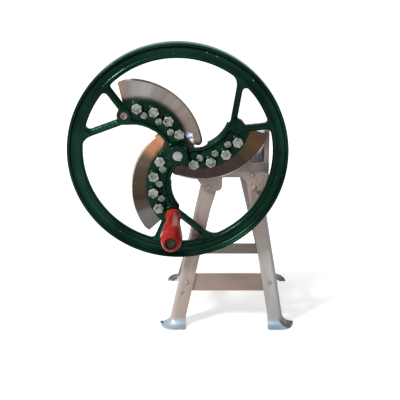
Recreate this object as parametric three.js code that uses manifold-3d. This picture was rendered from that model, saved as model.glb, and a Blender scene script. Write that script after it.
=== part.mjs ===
// Hand-turned vegetable cutting machine: a flywheel that carries three crescent blades past
// the mouth of a small four-legged stand. Millimetres, +Z up, the grip points to -Y, and
// the origin is on the floor under the middle of the machine.
import * as THREE from 'three';
import { mergeVertices } from 'three/addons/utils/BufferGeometryUtils.js';
import Module from 'manifold-3d';

const wasm = await Module();
wasm.setup();

// General
const clearance = 0.3;            // gap left between pieces that touch
const overrun = 3;                // how far a cutting tool passes the face that it opens
const axleHeight = 395;           // shaft axis above the floor

// Flywheel casting. Its own frame has x to the right, y up and z towards the viewer.
const wheelDiameter = 457;
const rimWidth = 32.5;            // in the wheel's plane
const rimDepth = 34;              // along the shaft
const rimBandWidth = 8;           // outer band, the full depth of the rim
const rimWebDepth = 21;           // dished web inside the band
const rimWebDish = 2.5;           // how much deeper the web lies at its inner edge
const rimLipWidth = 6;            // bead along the inner edge
const rimLipDepth = 19;
const rimChamfer = 2.5;
const armCount = 3;
const armFront = 2;               // front face, from the middle of the rim
const armThickness = 15;
const armOuterRadius = 105;       // convex edge: an arc and its centre
const armOuterX = -83.7;
const armOuterY = 5.3;
const armInnerRadius = 78;        // concave edge: an arc and its centre
const armInnerX = -92.4;
const armInnerY = -17.7;
const armOuterEndAngle = 104.5;   // the convex edge ends here, about its own centre
const armInnerEndAngle = 102.5;
const armRootAngle = 8;           // both edges start here, inside the hub
const ribWidth = 8;               // raised rib along the concave edge
const ribHeight = 5;              // in front of the arm
const ribTail = 2.5;              // behind the arm
const ribTailStart = 53;          // the tail runs between these, about the edge's centre
const ribTailEnd = 95;
const bossRadius = 15.5;          // boss at the end of each arm
const bossHeight = 6;             // above the arm's face
const crankBossHeight = 16;
const bossReach = 134.5;          // from the shaft axis
const bossAngle = 144.3;
const dimpleRadius = 3;           // cast centre mark of the boss that is not drilled
const dimpleDepth = 1.5;
const prongWidth = 10.5;
const prongDepth = 16;
const prongFlare = 8;             // fillet where a prong meets the rim
const leadProngAngle = 136.3;     // where the prongs meet the rim
const trailProngAngle = 169;
const leadProngReach = 134.5;     // each prong starts beside the middle of the boss
const leadProngStartAngle = 141.3;
const trailProngReach = 132;
const trailProngStartAngle = 148.7;
const hubRadius = 26;
const hubBossRadius = 22;         // long front boss round the shaft
const hubBossLength = 31;         // from the middle of the rim
const hubTailRadius = 24;
const hubTailLength = 20;
const hubChamfer = 2;

// Blades and what holds them
const bladeThickness = 4;
const bladeGap = 3;               // between arm and blade, set by the adjusting screws
const bladeEdgeRadius = 153.5;    // cutting edge: an arc and its centre
const bladeEdgeX = -100.8;
const bladeEdgeY = -2.4;
const bladeTipAngle = 84;         // the edge runs between these, about its own centre
const bladeHeelAngle = 8.5;
const bladeTipRadius = 64.4;      // the rest of the edge, up to the outer corner
const bladeCornerAngle = 118.3;
const bladeTurnX = -112.5;        // the end turns in here, to pass the crank's nut
const bladeTurnY = 99;
const bladeBackRadius = 84;       // back edge, about the centre of the bolt row
const bladeBackTipAngle = 93;
const bladeBackHeelAngle = 24.5;
const bladeNoseRadius = 5;        // rounded inner end of the cutting edge
const bladeNoseReach = 36.2;
const bladeNoseAngle = 17.7;
const bladeHeelReach = 33.6;      // corner of the inner end, behind the arm
const bladeHeelCornerAngle = 53.5;
const bladeBevel = 3.5;           // ground on the front, along the cutting edge
const bladeEdgeThickness = 0.5;
const boltRowRadius = 103.2;      // row of blade bolts: an arc and its centre
const boltRowX = -87.3;
const boltRowY = -8.3;
const boltRowStart = 87.3;
const boltRowStep = 19.7;
const boltsPerBlade = 4;
const boltDiameter = 12;
const boltHeadFlats = 19;
const boltHeadHeight = 7.5;
const padRadius = 12;             // round seat under each bolt head
const padHeight = 5;
const screwRowRadius = 90.2;      // row of adjusting screws, about the same centre
const screwRowStart = 77.6;
const screwRowStep = 20.9;
const screwDiameter = 8;
const screwHeadFlats = 13;
const screwHeadHeight = 5.3;
const screwStandOff = 1;          // the screws are not turned right home

// Crank
const gripLength = 161;
const gripCollarRadius = 17;
const gripCollarLength = 7;
const gripNeckRadius = 15.4;
const gripNeckPlace = 26;
const gripBellyRadius = 22;
const gripBellyPlace = 122;
const gripEndRadius = 15;
const gripEndRound = 12;
const gripRecessRadius = 11.6;
const gripRecessDepth = 12;
const gripBoreDiameter = 13;
const crankShift = 3;             // its hole is drilled this far beside the middle of the boss
const crankBoltDiameter = 12;
const crankNutHeight = 5.5;

// Shaft and bearings
const shaftDiameter = 20;
const shaftRecess = 1;            // the shaft ends this far inside the hub's boss
const keyWidth = 6;
const keyHeight = 5.6;
const keyLength = 40;
const keyAngle = -60;
const bushWall = 3.2;
const bushLength = 30;
const bushFlangeWidth = 4.5;
const bushFlangeThickness = 3.4;
const collarRadius = 18;
const collarLength = 14;
const collarScrewDiameter = 6;
const shaftTail = 4;              // beyond the collar

// Main frame casting, seen from the front and measured from the shaft axis
const cutGap = 0.5;               // between the blades and the shear bar
const shearBarThickness = 3.2;
const shearBarHeight = 16.5;
const plateThickness = 8;
const frameLength = 134;          // front face of the front plate to back of the rear one
const mouthLeft = 111;
const mouthWidth = 69;
const mouthBottom = -30.5;
const mouthHeight = 77;
const mouthPost = 11;
const mouthTopBar = 5.5;
const shoulderX = 95;             // the plate slopes down from the mouth to the bearing
const shoulderY = 36;
const hollowX = 52;
const hollowY = 4;
const housingRadius = 34;
const plateBottom = -62.5;
const earDrop = 30.5;             // ears, below the plate's lower edge
const frontEarInner = 21.5;       // half the space between the ears
const frontEarOuter = 77;
const rearEarInner = 14;
const rearEarOuter = 66;
const earRound = 13;
const frontEarSlant = 11;         // the left ear's outer edge runs in by this much
const frontEarCutBack = 14;       // and so does the right ear's inner edge
const bedThickness = 8;
const housingWeb = 24;

// Stand
const standMiddle = 114.5;        // middle plane of the stand, from the shaft axis
const sheet = 3;
const flangeFront = 30;
const flangeSide = 22;
const flangeOpening = 9;          // the side flange is folded to 90 degrees plus this
const foldRadius = 5;
const legTopDrop = 43;            // below the shaft axis
const frontLegHalfGap = 25;       // inner edges, at the top of the legs
const rearLegHalfGap = 8;
const frontFootHalfGap = 89.5;    // inner edges, where the toes begin
const rearFootHalfGap = 86;
const frontFootShift = -10;       // the feet stand a little to the left of the frame's middle
const rearFootShift = -4;
const frontLegLean = 33;          // how far the foot stands out from the plate
const rearLegLean = 108;
const frontKinkDrop = 140;        // the lean starts this far below the shaft axis
const rearKinkDrop = 102;
const toeBend = 22;
const toeFlat = 6.5;
const toeRound = 8;               // corner of the front toe, towards the middle of the stand
const toeHoleDiameter = 6.5;
const legBoltDiameter = 6;
const legBoltHeadRadius = 5.2;
const legBoltHeadHeight = 2.6;
const legBoltRimShare = 0.75;     // of the head's height, up to where its top flattens
const legNutFlats = 10;
const legNutHeight = 5;
const legBoltDrops = [56, 84];    // below the shaft axis
const frontBraceHeight = 38;
const rearBraceHeight = 31;
const sideBraceHeight = 27;
const frontBraceLevel = 97;       // middle of the brace above the floor
const rearBraceLevel = 92;
const sideBraceLevel = 100;
const braceInset = 5;             // the braces stop this far from a flange's end

// Feed trough
const troughSheet = 2;
const troughLength = 228;
const troughWallHigh = 72;        // above the floor of the trough, behind the mouth
const troughWallLow = 16;         // at the far end
const troughScrewDiameter = 5;
const troughScrewHeadRadius = 4.5;
const troughScrewHeadHeight = 1.6;
const troughScrewSpacing = 60;

// Facets
const rimFacets = 60;
const roundFacets = 20;
const holeFacets = 8;
const arcFacets = 12;

// Sizes worked out from the ones above
const turn = 2 * Math.PI;
const radians = (degrees) => degrees * Math.PI / 180;
const wheelRadius = wheelDiameter / 2;
const rimInner = wheelRadius - rimWidth;
const armBack = armFront - armThickness;
const padFace = armFront + padHeight;
const bossFace = armFront + bossHeight;
const crankBossFace = armFront + crankBossHeight;
const bladeFront = armBack - bladeGap;
const bladeBack = bladeFront - bladeThickness;
const plateFront = -bladeBack + cutGap + shearBarThickness + clearance;
const plateBack = plateFront + plateThickness;
const frameBack = plateFront + frameLength;
const rearPlateFront = frameBack - plateThickness;
const shaftRadius = shaftDiameter / 2;
const bearingBore = shaftRadius + clearance;
const bushRadius = bearingBore + bushWall;
const housingBore = bushRadius + clearance;
const bedTop = mouthBottom - troughSheet - clearance;
const nutRadius = (flats) => flats / Math.sqrt(3);
const holeRadius = (diameter) => (diameter / 2 + clearance) / Math.cos(Math.PI / holeFacets);

const painted = { metalness: 0.1, roughness: 0.35 };
const bare = { metalness: 0.9, roughness: 0.35 };
const greenEnamel = new THREE.MeshStandardMaterial({ color: 0x0e3b2e, ...painted });
const bladeSteel = new THREE.MeshStandardMaterial({ color: 0x9a918a, ...bare });
const zincSteel = new THREE.MeshStandardMaterial({ color: 0xa9aaa6, ...bare });
const turnedSteel = new THREE.MeshStandardMaterial({ color: 0xa8a0a4, ...bare });
const bronze = new THREE.MeshStandardMaterial({ color: 0x9c7440, ...bare });
const redLacquer = new THREE.MeshStandardMaterial({ color: 0xb32d28, ...painted });
const silverPaint = new THREE.MeshStandardMaterial({ color: 0xb3a69e, metalness: 0.4, roughness: 0.5 });
const galvanised = new THREE.MeshStandardMaterial({ color: 0x9fb2c2, ...bare });

// Solids: from a three.js geometry, joined and cut, and back to a geometry
function solid(geometry) {
  const bareGeometry = geometry.clone();
  bareGeometry.deleteAttribute('normal');
  bareGeometry.deleteAttribute('uv');
  const merged = mergeVertices(bareGeometry);
  const corners = Array.from(merged.index.array);
  const triangles = [];
  for (let at = 0; at < corners.length; at += 3) {
    const [a, b, c] = corners.slice(at, at + 3);
    if (a !== b && b !== c && c !== a) triangles.push(a, b, c);
  }
  const places = new Float32Array(merged.attributes.position.array);
  const triVerts = new Uint32Array(triangles);
  return new wasm.Manifold(new wasm.Mesh({ numProp: 3, vertProperties: places, triVerts }));
}

function joined(geometries) {
  return geometries.map(solid).reduce((whole, next) => whole.add(next));
}

function cut(body, tools) {
  return tools.map(solid).reduce((left, tool) => left.subtract(tool), body);
}

function piece(name, body, material) {
  const { vertProperties, triVerts, numProp } = body.getMesh();
  const places = new Float32Array(triVerts.length * 3);
  triVerts.forEach((vertex, corner) => {
    for (let axis = 0; axis < 3; axis++) {
      places[corner * 3 + axis] = vertProperties[vertex * numProp + axis];
    }
  });
  const geometry = new THREE.BufferGeometry();
  geometry.setAttribute('position', new THREE.BufferAttribute(places, 3));
  geometry.computeVertexNormals();
  const mesh = new THREE.Mesh(geometry, material);
  mesh.name = name;
  return mesh;
}

// Basic forms, all standing along z
function rod(radius, from, to, facets = roundFacets) {
  const geometry = new THREE.CylinderGeometry(radius, radius, to - from, facets);
  return geometry.rotateX(Math.PI / 2).translate(0, 0, (from + to) / 2);
}

function hexagon(flats, from, to) {
  return rod(nutRadius(flats), from, to, 6);
}

function revolved(profile, facets = roundFacets) {
  const points = profile.map(([radius, height]) => new THREE.Vector2(radius, height));
  return new THREE.LatheGeometry(points, facets).rotateX(Math.PI / 2);
}

function slab(shape, from, to, segments = arcFacets) {
  const options = { depth: to - from, bevelEnabled: false, curveSegments: segments };
  return new THREE.ExtrudeGeometry(shape, options).translate(0, 0, from);
}

function block(fromX, toX, fromY, toY, fromZ, toZ) {
  const geometry = new THREE.BoxGeometry(toX - fromX, toY - fromY, toZ - fromZ);
  return geometry.translate((fromX + toX) / 2, (fromY + toY) / 2, (fromZ + toZ) / 2);
}

function polar(radius, degrees, x = 0, y = 0) {
  const angle = radians(degrees);
  return [x + radius * Math.cos(angle), y + radius * Math.sin(angle)];
}

// A bolt along z: the head stands in front of the seat at z = 0 and the shank behind it
function hexBolt(diameter, flats, headHeight, length) {
  return joined([
    hexagon(flats, 0, headHeight),
    rod(diameter / 2, -length, headHeight / 2, holeFacets),
  ]);
}

// Rows of fasteners in the frame of the first arm
const boltPlaces = Array.from({ length: boltsPerBlade }, (none, index) =>
  polar(boltRowRadius, boltRowStart - index * boltRowStep, boltRowX, boltRowY));
const screwPlaces = Array.from({ length: boltsPerBlade - 1 }, (none, index) =>
  polar(screwRowRadius, screwRowStart - index * screwRowStep, boltRowX, boltRowY));
const bossPlace = polar(bossReach, bossAngle);

// The grip stands on the last arm, which points down
const crankPlace = polar(bossReach, bossAngle - (armCount - 1) * 360 / armCount, crankShift);

// Flywheel: rim, hub, and on each arm a flange, a rib, the bolt pads, the boss and two prongs
function rimProfile() {
  const face = rimDepth / 2;
  const bandInner = wheelRadius - rimBandWidth;
  const lipOuter = rimInner + rimLipWidth;
  const front = [
    [wheelRadius, face - rimChamfer],
    [wheelRadius - rimChamfer, face],
    [bandInner + rimChamfer, face],
    [bandInner, face - rimChamfer],
    [bandInner, rimWebDepth / 2],
    [lipOuter + rimChamfer, rimWebDepth / 2 - rimWebDish],
    [lipOuter, rimLipDepth / 2],
    [rimInner, rimLipDepth / 2 - rimChamfer],
  ];
  const back = front.map(([radius, height]) => [radius, -height]).reverse();
  return [...front, ...back, front[0]];
}

function armFlange() {
  const shape = new THREE.Shape();
  const root = radians(armRootAngle);
  shape.absarc(armOuterX, armOuterY, armOuterRadius, root, radians(armOuterEndAngle), false);
  const end = radians(armInnerEndAngle);
  shape.absarc(armInnerX, armInnerY, armInnerRadius + ribWidth / 2, end, root, true);
  shape.closePath();
  return slab(shape, armBack, armFront);
}

function armRib(startAngle, endAngle, from, to) {
  const shape = new THREE.Shape();
  const start = radians(startAngle);
  const end = radians(endAngle);
  shape.absarc(armInnerX, armInnerY, armInnerRadius + ribWidth, start, end, false);
  shape.absarc(armInnerX, armInnerY, armInnerRadius, end, start, true);
  shape.closePath();
  return slab(shape, from, to);
}

function prong([startX, startY], rimAngle) {
  const [rimX, rimY] = polar(rimInner + rimLipWidth / 2, rimAngle);
  const length = Math.hypot(rimX - startX, rimY - startY);
  const half = prongWidth / 2;
  const shape = new THREE.Shape();
  shape.moveTo(0, -half);
  shape.lineTo(length - rimLipWidth / 2 - prongFlare, -half);
  shape.quadraticCurveTo(length - rimLipWidth / 2, -half, length, -half - prongFlare);
  shape.lineTo(length, half + prongFlare);
  shape.quadraticCurveTo(length - rimLipWidth / 2, half, length - rimLipWidth / 2 - prongFlare, half);
  shape.lineTo(0, half);
  shape.closePath();
  const direction = Math.atan2(rimY - startY, rimX - startX);
  const geometry = slab(shape, -prongDepth / 2, prongDepth / 2, 3);
  return geometry.rotateZ(direction).translate(startX, startY, 0);
}

function armParts(arm) {
  const pads = boltPlaces.map(([x, y]) => rod(padRadius, 0, padFace, 12).translate(x, y, 0));
  const top = arm === armCount - 1 ? crankBossFace : bossFace;
  const boss = rod(bossRadius, armBack, top).translate(...bossPlace, 0);
  const ribs = [
    armRib(armRootAngle, armInnerEndAngle, 0, armFront + ribHeight),
    armRib(ribTailStart, ribTailEnd, armBack - ribTail, armFront),
  ];
  const prongs = [
    prong(polar(leadProngReach, leadProngStartAngle), leadProngAngle),
    prong(polar(trailProngReach, trailProngStartAngle), trailProngAngle),
  ];
  return [armFlange(), boss, ...ribs, ...prongs, ...pads];
}

function armHoles(arm) {
  const through = (radius, [x, y]) =>
    rod(radius, armBack - overrun, bossFace + overrun, holeFacets).translate(x, y, 0);
  const bolts = boltPlaces.map((place) => through(holeRadius(boltDiameter), place));
  const screws = screwPlaces.map((place) => through(holeRadius(screwDiameter), place));
  const screwRoom = holeRadius(2 * nutRadius(screwHeadFlats));
  const seats = screwPlaces.map(([x, y]) =>
    rod(screwRoom, armFront, padFace + overrun, holeFacets).translate(x, y, 0));
  const dimple = revolved([
    [0, bossFace - dimpleDepth],
    [dimpleRadius, bossFace + clearance],
    [0, bossFace + clearance],
  ], holeFacets).translate(...bossPlace, 0);
  const bossHole = through(holeRadius(crankBoltDiameter), bossPlace);
  return [...bolts, ...screws, ...seats, ...[[bossHole], [dimple], []][arm]];
}

function keySeat(inner, outer, side) {
  const half = keyWidth / 2 + side;
  const seat = block(inner, outer, -half, half, hubBossLength - keyLength, hubBossLength + overrun);
  return seat.rotateZ(radians(keyAngle));
}

const hubProfile = [
  [0, -hubTailLength],
  [hubTailRadius, -hubTailLength],
  [hubTailRadius, armBack],
  [hubRadius, armBack],
  [hubRadius, armFront + ribHeight],
  [hubBossRadius, armFront + ribHeight + 2 * hubChamfer],
  [hubBossRadius, hubBossLength - hubChamfer],
  [hubBossRadius - hubChamfer, hubBossLength],
  [0, hubBossLength],
];

// The arms follow each other clockwise: upper left, right, lower left
const armTurns = Array.from({ length: armCount }, (none, arm) => -arm * turn / armCount);

function flywheel() {
  const rim = revolved(rimProfile(), rimFacets);
  const hub = revolved(hubProfile, 28);
  const arms = armTurns.flatMap((angle, arm) => armParts(arm).map((form) => form.rotateZ(angle)));
  const holes = armTurns.flatMap((angle, arm) => armHoles(arm).map((form) => form.rotateZ(angle)));
  const bore = rod(bearingBore, -hubTailLength - overrun, hubBossLength + overrun);
  const keyway = keySeat(0, shaftRadius + keyHeight / 2 + clearance, clearance);
  const crankHole = rod(
    holeRadius(crankBoltDiameter), armBack - overrun, crankBossFace + overrun, holeFacets,
  ).translate(...crankPlace, 0);
  return cut(joined([rim, hub, ...arms]), [bore, keyway, crankHole, ...holes]);
}

// Blade: a crescent with a ground edge and four threaded holes
function bladeOutline() {
  const shape = new THREE.Shape();
  const heel = radians(bladeHeelAngle);
  const tip = radians(bladeTipAngle);
  shape.absarc(bladeEdgeX, bladeEdgeY, bladeEdgeRadius, heel, tip, false);
  const tipCentre = polar(bladeEdgeRadius - bladeTipRadius, bladeTipAngle, bladeEdgeX, bladeEdgeY);
  shape.absarc(...tipCentre, bladeTipRadius, tip, radians(bladeCornerAngle), false);
  shape.lineTo(bladeTurnX, bladeTurnY);
  const backTip = radians(bladeBackTipAngle);
  const backHeel = radians(bladeBackHeelAngle);
  shape.absarc(boltRowX, boltRowY, bladeBackRadius, backTip, backHeel, true);
  shape.lineTo(...polar(bladeHeelReach, bladeHeelCornerAngle));
  const [noseX, noseY] = polar(bladeNoseReach, bladeNoseAngle);
  shape.lineTo(noseX, noseY);
  const edgeStart = polar(bladeEdgeRadius, bladeHeelAngle, bladeEdgeX, bladeEdgeY);
  shape.quadraticCurveTo(noseX + bladeNoseRadius, noseY - bladeNoseRadius / 2, ...edgeStart);
  return shape;
}

function blade() {
  const body = solid(slab(bladeOutline(), bladeBack, bladeFront));
  const grind = revolved([
    [bladeEdgeRadius - bladeBevel, bladeFront],
    [bladeEdgeRadius + clearance, bladeBack + bladeEdgeThickness],
    [bladeEdgeRadius + overrun, bladeBack + bladeEdgeThickness],
    [bladeEdgeRadius + overrun, bladeFront + overrun],
    [bladeEdgeRadius - bladeBevel, bladeFront + overrun],
    [bladeEdgeRadius - bladeBevel, bladeFront],
  ], 48).translate(bladeEdgeX, bladeEdgeY, 0);
  const holes = boltPlaces.map(([x, y]) => rod(
    holeRadius(boltDiameter), bladeBack - overrun, bladeFront + overrun, holeFacets,
  ).translate(x, y, 0));
  return cut(body, [grind, ...holes]);
}

const bladeBoltLength = padFace - bladeBack - clearance;
const screwSeat = armFront + screwStandOff;
const screwLength = screwSeat - bladeFront - clearance;

// Grip: turned wood, free on the crank bolt
function gripProfile() {
  const curve = new THREE.SplineCurve([
    new THREE.Vector2(gripCollarRadius, gripCollarLength),
    new THREE.Vector2(gripNeckRadius, gripNeckPlace),
    new THREE.Vector2((gripNeckRadius + gripBellyRadius) / 2, (gripNeckPlace + gripBellyPlace) / 2),
    new THREE.Vector2(gripBellyRadius, gripBellyPlace),
    new THREE.Vector2((gripBellyRadius + gripEndRadius) / 2, gripLength - gripEndRound / 2),
    new THREE.Vector2(gripEndRadius, gripLength),
  ]);
  const bore = gripBoreDiameter / 2;
  return [
    [bore, 0],
    [gripCollarRadius, 0],
    ...curve.getPoints(12).map((point) => [point.x, point.y]),
    [gripRecessRadius, gripLength],
    [gripRecessRadius, gripLength - gripRecessDepth],
    [bore, gripLength - gripRecessDepth],
    [bore, 0],
  ];
}

const gripSeat = crankBossFace + clearance;
const crankHeadSeat = gripSeat + gripLength - gripRecessDepth + clearance;
const crankBoltEnd = armBack - clearance - crankNutHeight - clearance;
const crankNut = cut(
  solid(hexagon(boltHeadFlats, armBack - clearance - crankNutHeight, armBack - clearance)),
  [rod(holeRadius(crankBoltDiameter), 2 * armBack, 0, holeFacets)],
);

// Shaft, key, bushes and collar, along the shaft axis
const collarFront = frameBack + clearance + bushFlangeThickness + clearance;
const shaftEnd = collarFront + collarLength + shaftTail;
const keyFront = hubBossLength - shaftRecess;

function wheelShaft() {
  const body = solid(rod(shaftRadius, -shaftEnd, keyFront, 24));
  const seat = keySeat(shaftRadius - keyHeight / 2 - clearance, shaftRadius + overrun, clearance);
  return cut(body, [seat]);
}

function hubKey() {
  const inner = shaftRadius - keyHeight / 2;
  const half = keyWidth / 2;
  const start = hubBossLength - keyLength + clearance;
  return solid(block(inner, inner + keyHeight, -half, half, start, keyFront)
    .rotateZ(radians(keyAngle)));
}

function bush() {
  const flange = bushRadius + bushFlangeWidth;
  return solid(revolved([
    [bearingBore, -bushLength],
    [bushRadius, -bushLength],
    [bushRadius, clearance],
    [flange, clearance],
    [flange, clearance + bushFlangeThickness],
    [bearingBore, clearance + bushFlangeThickness],
    [bearingBore, -bushLength],
  ]));
}

function collarScrewHole(radius) {
  return new THREE.CylinderGeometry(radius, radius, collarRadius, holeFacets)
    .translate(0, shaftRadius + clearance + collarRadius / 2, -collarFront - collarLength / 2);
}

function shaftCollar() {
  const ring = cut(
    solid(rod(collarRadius, -collarFront - collarLength, -collarFront)),
    [rod(bearingBore, -collarFront - collarLength - overrun, overrun - collarFront, 24)],
  );
  return cut(ring, [collarScrewHole(holeRadius(collarScrewDiameter))]);
}

function collarScrew() {
  const length = collarRadius - shaftRadius - 2 * clearance;
  return solid(new THREE.CylinderGeometry(
    collarScrewDiameter / 2, collarScrewDiameter / 2, length, holeFacets,
  ).translate(0, shaftRadius + clearance + length / 2, -collarFront - collarLength / 2));
}

// Main frame, drawn in the same frame as the wheel, so that its depth runs to -z
const mouthRight = mouthLeft + mouthWidth;
const mouthTop = mouthBottom + mouthHeight;
const plateRight = mouthRight + mouthPost;
const plateTop = mouthTop + mouthTopBar;
const earBottom = plateBottom - earDrop;

function earPath(shape, inner, outer, slant = 0, cutBack = 0) {
  // Lower edge of a plate with an ear at each side, drawn from right to left
  const cornerY = earBottom + earRound;
  const rightInner = standMiddle + inner + cutBack;
  const leftOuter = standMiddle - outer + slant;
  shape.lineTo(standMiddle + outer, cornerY);
  shape.quadraticCurveTo(standMiddle + outer, earBottom, standMiddle + outer - earRound, earBottom);
  shape.lineTo(rightInner + earRound, earBottom);
  shape.quadraticCurveTo(rightInner, earBottom, rightInner, cornerY);
  shape.lineTo(standMiddle + inner, plateBottom);
  shape.lineTo(standMiddle - inner, plateBottom);
  shape.lineTo(standMiddle - inner, cornerY);
  shape.quadraticCurveTo(standMiddle - inner, earBottom, standMiddle - inner - earRound, earBottom);
  shape.lineTo(leftOuter + earRound, earBottom);
  shape.quadraticCurveTo(leftOuter, earBottom, leftOuter, cornerY);
}

function frontPlate() {
  const shape = new THREE.Shape();
  shape.moveTo(0, 0);
  shape.lineTo(hollowX, hollowY);
  shape.lineTo(shoulderX, shoulderY);
  shape.lineTo(mouthLeft, plateTop);
  shape.lineTo(plateRight - mouthTopBar / 2, plateTop);
  shape.lineTo(plateRight, plateTop - mouthTopBar / 2);
  shape.lineTo(plateRight, plateBottom + shearBarHeight);
  shape.lineTo(standMiddle + frontEarOuter, plateBottom);
  earPath(shape, frontEarInner, frontEarOuter, frontEarSlant, frontEarCutBack);
  shape.lineTo(standMiddle - frontEarOuter, plateBottom);
  shape.closePath();
  return slab(shape, -plateBack, -plateFront, 4);
}

function rearPlate() {
  const shape = new THREE.Shape();
  shape.moveTo(standMiddle - rearEarOuter, bedTop);
  shape.lineTo(standMiddle + rearEarOuter, bedTop);
  earPath(shape, rearEarInner, rearEarOuter);
  shape.closePath();
  return slab(shape, -frameBack, -rearPlateFront, 4);
}

function mainFrame() {
  const bedLeft = -housingWeb / 2;
  const bed = block(bedLeft, standMiddle + rearEarOuter, bedTop - bedThickness, bedTop,
    -frameBack, -plateFront);
  const web = block(bedLeft, housingWeb / 2, bedTop - bedThickness, 0, -frameBack, -plateFront);
  const housing = rod(housingRadius, -frameBack, -plateFront, 28);
  const body = joined([frontPlate(), rearPlate(), bed, web, housing]);
  const mouth = block(mouthLeft, mouthRight, mouthBottom, mouthTop,
    -plateBack - overrun, -plateFront + overrun);
  const bore = rod(housingBore, -frameBack - overrun, overrun - plateFront, 24);
  const screws = troughScrewPlaces.map((place) => troughScrewHole(place));
  return cut(cut(body, [mouth, bore, ...screws]), legBolts.map((bolt) => bolt.hole()));
}

// Shear bar along the lower edge of the mouth, against which the blades cut
function shearBar() {
  return solid(block(mouthLeft - mouthTopBar, plateRight, mouthBottom - shearBarHeight, mouthBottom,
    -plateFront + clearance, -plateFront + clearance + shearBarThickness));
}

// Feed trough: one bent sheet, open above and at its far end, its walls falling away
const troughStart = plateBack + clearance;
const troughFloor = mouthBottom;
const troughMiddle = mouthLeft + mouthWidth / 2;
const troughScrewPlaces = [0, 1].map((index) => troughStart + troughScrewSpacing * (index + 1 / 2));

function troughScrewHole(place) {
  return new THREE.CylinderGeometry(
    holeRadius(troughScrewDiameter), holeRadius(troughScrewDiameter),
    2 * bedThickness + overrun, holeFacets,
  ).translate(troughMiddle, bedTop - bedThickness / 2, -place);
}

function feedTrough() {
  const wall = new THREE.Shape();
  wall.moveTo(troughStart, troughFloor - troughSheet);
  wall.lineTo(troughStart + troughLength, troughFloor - troughSheet);
  wall.lineTo(troughStart + troughLength, troughFloor + troughWallLow);
  wall.lineTo(troughStart, troughFloor + troughWallHigh);
  wall.closePath();
  const outer = slab(wall, mouthLeft - troughSheet, mouthRight + troughSheet)
    .rotateY(Math.PI / 2);
  const room = block(mouthLeft, mouthRight, troughFloor, troughFloor + troughWallHigh + overrun,
    -troughStart - troughLength - overrun, -troughStart + overrun);
  const holes = troughScrewPlaces.map((place) => troughScrewHole(place));
  return cut(solid(outer), [room, ...holes]);
}

function troughScrew() {
  const length = troughSheet + bedThickness;
  return joined([
    rod(troughScrewHeadRadius, clearance, clearance + troughScrewHeadHeight, holeFacets),
    rod(troughScrewDiameter / 2, -length, clearance + troughScrewHeadHeight / 2, holeFacets),
  ]);
}

// A bent sheet from a row of stations, each a row of pairs: a point on the outer face and
// the point behind it on the inner face
function bentSheet(stations) {
  const perStation = stations[0].length;
  const places = stations.flat(2).flatMap((point) => [point.x, point.y, point.z]);
  const vertex = (station, pair, side) => (station * perStation + pair) * 2 + side;
  const index = [];
  const quad = (a, b, c, d) => index.push(a, b, c, a, c, d);
  const lastPair = perStation - 1;
  const lastStation = stations.length - 1;
  for (let s = 0; s < lastStation; s++) {
    for (let p = 0; p < lastPair; p++) {
      quad(vertex(s, p, 0), vertex(s, p + 1, 0), vertex(s + 1, p + 1, 0), vertex(s + 1, p, 0));
      quad(vertex(s, p + 1, 1), vertex(s, p, 1), vertex(s + 1, p, 1), vertex(s + 1, p + 1, 1));
    }
    quad(vertex(s, 0, 1), vertex(s, 0, 0), vertex(s + 1, 0, 0), vertex(s + 1, 0, 1));
    quad(vertex(s, lastPair, 0), vertex(s, lastPair, 1),
      vertex(s + 1, lastPair, 1), vertex(s + 1, lastPair, 0));
  }
  for (let p = 0; p < lastPair; p++) {
    quad(vertex(0, p + 1, 0), vertex(0, p, 0), vertex(0, p, 1), vertex(0, p + 1, 1));
    quad(vertex(lastStation, p, 0), vertex(lastStation, p + 1, 0),
      vertex(lastStation, p + 1, 1), vertex(lastStation, p, 1));
  }
  const geometry = new THREE.BufferGeometry();
  geometry.setAttribute('position', new THREE.Float32BufferAttribute(places, 3));
  geometry.setIndex(index);
  if (signedVolume(geometry) < 0) {
    for (let at = 0; at < index.length; at += 3) {
      [index[at], index[at + 1]] = [index[at + 1], index[at]];
    }
    geometry.setIndex(index);
  }
  return geometry;
}

function signedVolume(geometry) {
  const place = geometry.attributes.position;
  const corner = (at) => new THREE.Vector3().fromBufferAttribute(place, geometry.index.getX(at));
  let sum = 0;
  for (let at = 0; at < geometry.index.count; at += 3) {
    sum += corner(at).dot(corner(at + 1).cross(corner(at + 2)));
  }
  return sum;
}

// Legs. Each is described by where it goes from the middle of the stand: out to the side,
// out from its plate, and up from the floor.
const legTop = axleHeight - legTopDrop;
const legs = [
  { name: 'front_left_leg', side: -1, end: -1 },
  { name: 'front_right_leg', side: 1, end: -1 },
  { name: 'rear_left_leg', side: -1, end: 1 },
  { name: 'rear_right_leg', side: 1, end: 1 },
].map((leg) => {
  const front = leg.end < 0;
  return {
    ...leg,
    plane: front ? plateBack + clearance : rearPlateFront - clearance,
    topGap: front ? frontLegHalfGap : rearLegHalfGap,
    footGap: front ? frontFootHalfGap : rearFootHalfGap,
    footShift: front ? frontFootShift : rearFootShift,
    kink: axleHeight - (front ? frontKinkDrop : rearKinkDrop),
    lean: front ? frontLegLean : rearLegLean,
  };
});

function innerEdge(leg, height) {
  const foot = leg.footGap + leg.side * leg.footShift;
  return leg.topGap + (foot - leg.topGap) * (legTop - height) / (legTop - toeBend);
}

function standOut(leg, height) {
  return leg.lean * Math.max(0, leg.kink - height) / (leg.kink - toeBend);
}

function leanAngle(leg) {
  return Math.atan(leg.lean / (leg.kink - toeBend));
}

function inStand(leg, across, outward, height) {
  const x = standMiddle + leg.side * across;
  return new THREE.Vector3(x, leg.plane + leg.end * outward, height);
}

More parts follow.
